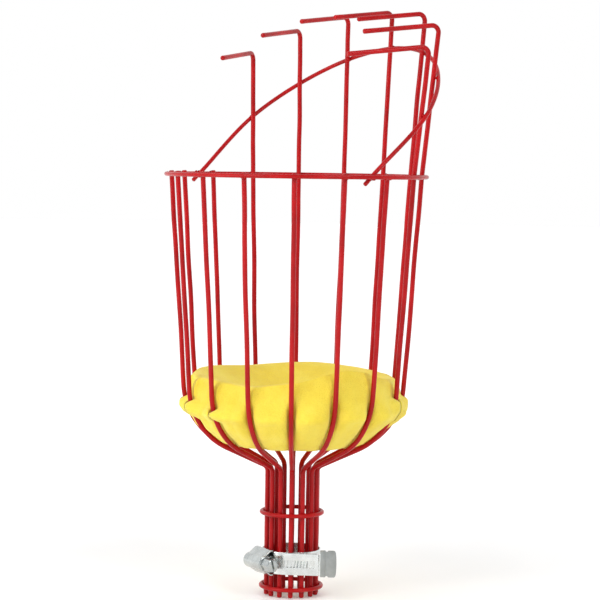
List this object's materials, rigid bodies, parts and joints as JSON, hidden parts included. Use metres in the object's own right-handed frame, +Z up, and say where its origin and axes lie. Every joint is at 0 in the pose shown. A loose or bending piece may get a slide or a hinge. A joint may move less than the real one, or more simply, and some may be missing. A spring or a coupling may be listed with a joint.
{
  "type": "fruit picker basket",
  "caption": "Wire picking basket with hooked fingers above an open rim, a foam cushion in its bowl, and a band clamp that closes its wire neck on a pole.",
  "frame": {"origin": "the middle of the pole socket's mouth, on the neck's axis in the plane of the wires' cut ends", "axes": "+Z up along the neck's axis and the basket's length, +Y towards the long hooked fingers, -Y towards the open mouth"},
  "size_m": [0.1518, 0.1588, 0.3407],
  "materials": {
    "red_paint": "glossy red dip paint on steel wire",
    "yellow_foam": "open-cell polyurethane foam, matte",
    "zinc_plate": "bright zinc plate, satin",
    "zinc_screw": "zinc plate, turned and stamped"
  },
  "bodies": {
    "basket": {"finger_wire_1": "red_paint", "finger_wire_2": "red_paint", "finger_wire_3": "red_paint", "finger_wire_4": "red_paint", "finger_wire_5": "red_paint", "finger_wire_6": "red_paint", "finger_wire_7": "red_paint", "basket_wire_1": "red_paint", "basket_wire_2": "red_paint", "basket_wire_3": "red_paint", "basket_wire_4": "red_paint", "basket_wire_5": "red_paint", "basket_wire_6": "red_paint", "basket_wire_7": "red_paint", "basket_wire_8": "red_paint", "basket_wire_9": "red_paint", "rim_ring": "red_paint", "neck_ring_lower": "red_paint", "neck_ring_upper": "red_paint", "finger_hoop": "red_paint"},
    "cushion": {"foam_cushion": "yellow_foam"},
    "clamp": {"clamp_band": "zinc_plate", "clamp_housing": "zinc_plate"},
    "screw": {"clamp_screw": "zinc_screw"}
  },
  "joints": [
    {"name": "cushion_lift", "type": "slide", "parent": "basket", "child": "cushion", "axis": [0, 0, 1], "range_m": [0, 0.11]},
    {"name": "clamp_turn", "type": "hinge", "parent": "basket", "child": "clamp", "pos_m": [0, 0, 0.0203], "axis": [0, 0, 1], "continuous": true},
    {"name": "screw_turn", "type": "hinge", "parent": "clamp", "child": "screw", "pos_m": [-0.00426, -0.02189, 0.0203], "axis": [0.9816, -0.1908, 0], "continuous": true}
  ]
}
